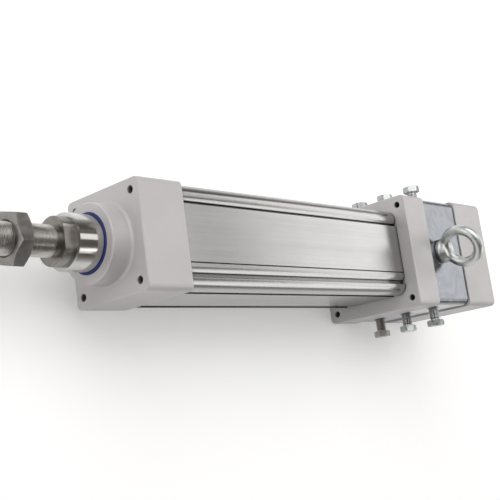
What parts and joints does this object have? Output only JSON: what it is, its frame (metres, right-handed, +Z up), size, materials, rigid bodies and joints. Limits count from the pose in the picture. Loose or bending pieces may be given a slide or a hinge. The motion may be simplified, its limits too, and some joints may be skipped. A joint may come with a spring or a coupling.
{
  "type": "electric linear actuator",
  "caption": "Electric linear actuator with a square profile tube, a screw-driven rod with a threaded end, a bolted rear housing with a motor face, and a lifting eye.",
  "frame": {"origin": "on the rod's axis, in the front face of the square head, at the centre of its bolt holes", "axes": "+X along the rod towards its threaded end, +Z up the way the lifting eye stands, +Y to the side bolts seen in the picture"},
  "size_m": [0.946, 0.236, 0.252],
  "materials": {
    "cast_aluminium": "fine blasted",
    "profile_aluminium": "satin anodised",
    "milled_aluminium": "bright milled",
    "zinc_steel": "bright zinc",
    "chrome": "polished",
    "turned_steel": "turned",
    "dark_steel": "blackened",
    "bearing_steel": "ground",
    "bronze": "machined",
    "wiper_blue": "moulded",
    "seal_black": "moulded",
    "damper_rubber": "moulded",
    "spider_rubber": "moulded",
    "magnet": "moulded",
    "guide_plastic": "machined"
  },
  "bodies": {
    "housing": {"front_head": "cast_aluminium", "guide_bush": "bronze", "rod_seal": "seal_black", "rod_wiper": "wiper_blue", "profile_tube": "profile_aluminium", "tie_rods": "zinc_steel", "tie_rod_washers": "zinc_steel", "tie_rod_nuts": "zinc_steel", "rear_flange": "cast_aluminium", "head_o_ring": "seal_black", "flange_o_ring": "seal_black", "front_damper": "damper_rubber", "rear_damper": "damper_rubber", "bearing_outer_rings": "bearing_steel", "bearing_cover": "turned_steel", "bearing_cover_screws": "dark_steel", "shaft_seal": "seal_black", "coupling_housing": "milled_aluminium", "side_bolts": "zinc_steel", "eye_bolt": "zinc_steel", "motor_adapter": "cast_aluminium", "housing_bolts": "dark_steel"},
    "screw": {"screw_shaft": "turned_steel", "screw_tip_guide": "guide_plastic", "bearing_inner_rings": "bearing_steel", "bearing_lock_nut": "dark_steel", "screw_hub": "milled_aluminium", "screw_hub_clamp": "dark_steel", "coupling_spider": "spider_rubber", "motor_hub": "milled_aluminium", "motor_hub_clamp": "dark_steel"},
    "rod": {"rod_tube": "chrome", "rod_end": "turned_steel", "lock_nut": "dark_steel", "nut_carrier": "turned_steel", "anti_rotation_keys": "bronze", "guide_ring": "guide_plastic", "magnet_ring": "magnet", "roller_nut": "bearing_steel", "nut_screws": "dark_steel", "nut_wipers": "seal_black", "ring_gears": "bearing_steel"},
    "planets": {"planet_rollers": "bearing_steel", "planet_cages": "bearing_steel"},
    "bearing_roller_set": {"bearing_rollers": "bearing_steel"}
  },
  "joints": [
    {"name": "screw_spin", "type": "hinge", "parent": "housing", "child": "screw", "pos_m": [0, 0, 0], "axis": [-1, 0, 0], "range_deg": [0, 7950]},
    {"name": "rod_slide", "type": "slide", "parent": "housing", "child": "rod", "axis": [1, 0, 0], "range_m": [0, 0.265]},
    {"name": "planet_orbit", "type": "hinge", "parent": "rod", "child": "planets", "pos_m": [0, 0, 0], "axis": [-1, 0, 0], "range_deg": [0, 3181]},
    {"name": "bearing_roller_orbit", "type": "hinge", "parent": "housing", "child": "bearing_roller_set", "pos_m": [0, 0, 0], "axis": [-1, 0, 0], "range_deg": [0, 3411]}
  ],
  "couplings": [
    {"joint": "rod_slide", "follows": "screw_spin", "m_per_rad": 0.0019099},
    {"joint": "planet_orbit", "follows": "screw_spin", "ratio": 0.4},
    {"joint": "bearing_roller_orbit", "follows": "screw_spin", "ratio": 0.4288}
  ]
}
